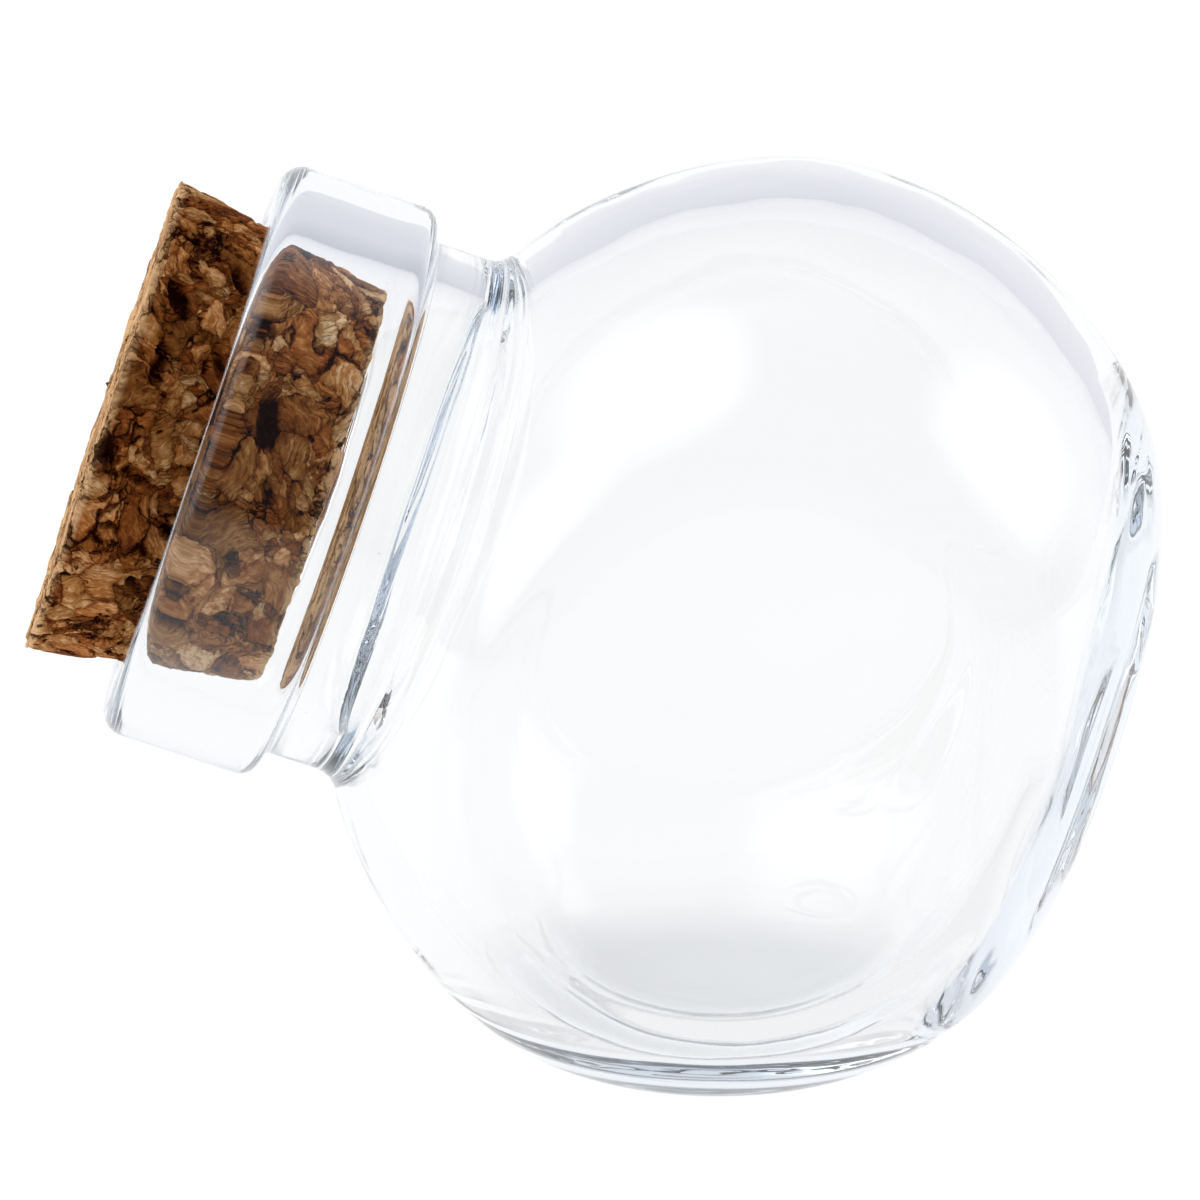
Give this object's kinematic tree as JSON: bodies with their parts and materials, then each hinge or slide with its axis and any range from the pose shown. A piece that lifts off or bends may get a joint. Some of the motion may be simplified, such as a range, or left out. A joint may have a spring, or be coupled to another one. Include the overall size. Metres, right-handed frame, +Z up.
{
  "type": "round jar",
  "caption": "Ball-shaped clear glass jar with flat front and back and a thick beaded mouth, closed by a tapered cork stopper and lying tilted on a flat foot.",
  "frame": {"origin": "on the surface that the jar lies on, under the middle of the whole part", "axes": "+Z up as the jar lies on its foot; the jar's axis lies in the XZ plane, its mouth to -X and raised 19.4 degrees; the front flat faces -Y"},
  "size_m": [0.1016, 0.067, 0.0819],
  "materials": {
    "clear_glass": "polished pressed glass, clear with a faint cool tint in the thick places",
    "pressed_cork": "matt pressed cork granules, bare"
  },
  "bodies": {
    "jar": {"glass_jar": "clear_glass"},
    "stopper": {"cork_stopper": "pressed_cork"}
  },
  "joints": [
    {"name": "stopper_pull", "type": "slide", "parent": "jar", "child": "stopper", "axis": [-0.9432, 0, 0.3322], "range_m": [0, 0.053]}
  ]
}
